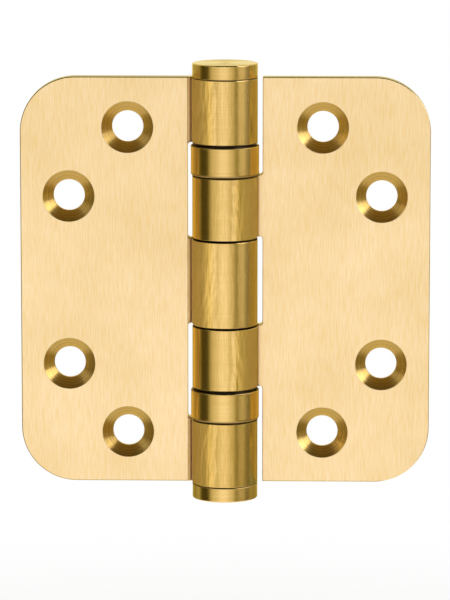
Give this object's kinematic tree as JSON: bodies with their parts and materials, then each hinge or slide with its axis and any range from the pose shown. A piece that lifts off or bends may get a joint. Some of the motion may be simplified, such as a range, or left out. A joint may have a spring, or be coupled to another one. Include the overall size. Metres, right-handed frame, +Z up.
{
  "type": "ball bearing butt hinge",
  "caption": "Open butt hinge in satin brass: round-cornered leaves with countersunk screw holes, turning on a pin through knuckles, thrust ball bearings and flat tips.",
  "frame": {"origin": "on the pin's axis at mid height", "axes": "+Z up along the pin, +X to the outer edge of the right leaf, which has two knuckles, and -Y out of the countersunk faces, on the side where the barrel stands proud"},
  "size_m": [0.089, 0.0148, 0.0954],
  "materials": {
    "leaf_brass": "satin, brushed along the leaf",
    "turned_brass": "satin, turned",
    "pin_steel": "satin",
    "race_steel": "ground",
    "ball_steel": "polished",
    "cage_brass": "plain"
  },
  "bodies": {
    "left_side": {"left_leaf": "leaf_brass", "hinge_pin": "pin_steel", "top_tip": "turned_brass", "bottom_tip": "turned_brass", "upper_bearing_top_race": "race_steel", "lower_bearing_shell": "turned_brass", "lower_bearing_bottom_race": "race_steel"},
    "right_side": {"right_leaf": "leaf_brass", "upper_bearing_shell": "turned_brass", "upper_bearing_bottom_race": "race_steel", "lower_bearing_top_race": "race_steel"},
    "upper_ball_ring": {"upper_bearing_cage": "cage_brass", "upper_bearing_ball_01": "ball_steel", "upper_bearing_ball_02": "ball_steel", "upper_bearing_ball_03": "ball_steel", "upper_bearing_ball_04": "ball_steel", "upper_bearing_ball_05": "ball_steel", "upper_bearing_ball_06": "ball_steel", "upper_bearing_ball_07": "ball_steel", "upper_bearing_ball_08": "ball_steel", "upper_bearing_ball_09": "ball_steel", "upper_bearing_ball_10": "ball_steel", "upper_bearing_ball_11": "ball_steel", "upper_bearing_ball_12": "ball_steel"},
    "lower_ball_ring": {"lower_bearing_cage": "cage_brass", "lower_bearing_ball_01": "ball_steel", "lower_bearing_ball_02": "ball_steel", "lower_bearing_ball_03": "ball_steel", "lower_bearing_ball_04": "ball_steel", "lower_bearing_ball_05": "ball_steel", "lower_bearing_ball_06": "ball_steel", "lower_bearing_ball_07": "ball_steel", "lower_bearing_ball_08": "ball_steel", "lower_bearing_ball_09": "ball_steel", "lower_bearing_ball_10": "ball_steel", "lower_bearing_ball_11": "ball_steel", "lower_bearing_ball_12": "ball_steel"}
  },
  "joints": [
    {"name": "leaf_fold", "type": "hinge", "parent": "left_side", "child": "right_side", "pos_m": [0, 0, 0], "axis": [0, 0, -1], "range_deg": [-125, 180]},
    {"name": "upper_ball_ring_turn", "type": "hinge", "parent": "left_side", "child": "upper_ball_ring", "pos_m": [0, 0, 0.0268], "axis": [0, 0, -1], "range_deg": [-65, 92]},
    {"name": "lower_ball_ring_turn", "type": "hinge", "parent": "left_side", "child": "lower_ball_ring", "pos_m": [0, 0, -0.0268], "axis": [0, 0, -1], "range_deg": [-65, 92]}
  ],
  "couplings": [
    {"joint": "upper_ball_ring_turn", "follows": "leaf_fold", "ratio": 0.5},
    {"joint": "lower_ball_ring_turn", "follows": "leaf_fold", "ratio": 0.5}
  ]
}
